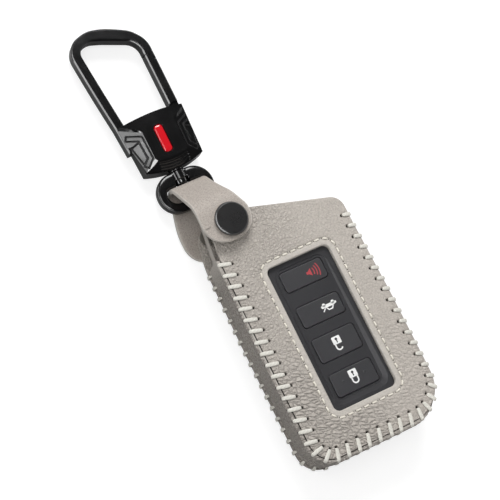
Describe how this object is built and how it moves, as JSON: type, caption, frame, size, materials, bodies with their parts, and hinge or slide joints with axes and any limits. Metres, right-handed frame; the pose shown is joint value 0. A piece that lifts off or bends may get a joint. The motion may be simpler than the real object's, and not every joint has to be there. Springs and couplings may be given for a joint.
{
  "type": "key fob cover",
  "caption": "Whip-stitched leather cover holding a car remote, with a button window, a snap strap, a shackle ring and a swivel carabiner with a sprung gate.",
  "frame": {"origin": "middle of the footprint of the closed cover, at the level of the carabiner's back", "axes": "+X to the right as the buttons are looked at with the carabiner up, +Y from the cover's closed end to the carabiner, +Z from the back to the buttons"},
  "size_m": [0.06, 0.1696, 0.0251],
  "materials": {
    "leather_pebbled": "pebbled grain, matte",
    "leather_facing": "smooth, matte",
    "leather_strap": "smooth buffed grain, matte",
    "thread_waxed": "flat waxed thread",
    "thread_fine": "fine twisted thread",
    "metal_black": "gloss black plating",
    "enamel_red": "gloss enamel",
    "snap_black": "satin black plating",
    "snap_steel": "plain",
    "steel_plain": "plain",
    "plastic_shell": "fine moulded texture",
    "plastic_button": "satin",
    "rubber_mat": "matte",
    "board_green": "solder mask"
  },
  "bodies": {
    "cover": {"back_edge_stitching": "thread_waxed", "back_panel": "leather_pebbled", "fob_bottom_shell": "plastic_shell", "fob_cell_contact": "steel_plain", "fob_circuit_board": "board_green", "fob_coin_cell": "steel_plain", "fob_keypad_mat": "rubber_mat", "fob_switches": "plastic_button", "fob_top_shell": "plastic_shell", "front_edge_stitching": "thread_waxed", "front_panel": "leather_pebbled", "rivet_cap": "snap_black", "rivet_post": "snap_steel", "side_gusset": "leather_pebbled", "snap_post": "snap_steel", "snap_stud": "snap_steel", "strap_rear_half": "leather_strap", "window_facing": "leather_facing", "window_stitching": "thread_fine"},
    "strap_flap": {"strap_front_half": "leather_strap", "snap_cap": "snap_black", "snap_socket": "snap_steel"},
    "ring": {"swivel_ring": "metal_black"},
    "carabiner": {"carabiner_frame": "metal_black", "badge_plate": "metal_black", "badge_inlay": "enamel_red", "gate_pin": "steel_plain", "gate_spring": "steel_plain", "swivel_post": "metal_black", "swivel_washer": "metal_black"},
    "gate_arm": {"gate": "metal_black"},
    "alarm_key": {"button_alarm": "plastic_button"},
    "trunk_key": {"button_trunk": "plastic_button"},
    "unlock_key": {"button_unlock": "plastic_button"},
    "lock_key": {"button_lock": "plastic_button"}
  },
  "joints": [
    {"name": "flap_opens", "type": "hinge", "parent": "cover", "child": "strap_flap", "pos_m": [-0.01437, 0.02287, 0.0062], "axis": [-1, 0, 0], "range_deg": [0, 55]},
    {"name": "ring_swings", "type": "hinge", "parent": "cover", "child": "ring", "pos_m": [-0.01467, 0.01557, 0.00475], "axis": [1, 0, 0], "range_deg": [-20, 0]},
    {"name": "carabiner_swivels", "type": "hinge", "parent": "ring", "child": "carabiner", "pos_m": [-0.01467, 0.02837, 0.00475], "axis": [0, 1, 0], "continuous": true},
    {"name": "gate_opens", "type": "hinge", "parent": "carabiner", "child": "gate_arm", "pos_m": [-0.00527, 0.04527, 0.00475], "axis": [0, 0, 1], "range_deg": [0, 28], "stiffness_Nm_per_rad": 0.03, "springref_deg": -14.9, "deforming": ["gate_spring"]},
    {"name": "alarm_presses", "type": "slide", "parent": "cover", "child": "alarm_key", "axis": [0, 0, -1], "range_m": [0, 0.0006], "stiffness_N_per_m": 2500, "springref_m": -0.0004},
    {"name": "trunk_presses", "type": "slide", "parent": "cover", "child": "trunk_key", "axis": [0, 0, -1], "range_m": [0, 0.0006], "stiffness_N_per_m": 2500, "springref_m": -0.0004},
    {"name": "unlock_presses", "type": "slide", "parent": "cover", "child": "unlock_key", "axis": [0, 0, -1], "range_m": [0, 0.0006], "stiffness_N_per_m": 2500, "springref_m": -0.0004},
    {"name": "lock_presses", "type": "slide", "parent": "cover", "child": "lock_key", "axis": [0, 0, -1], "range_m": [0, 0.0006], "stiffness_N_per_m": 2500, "springref_m": -0.0004}
  ]
}
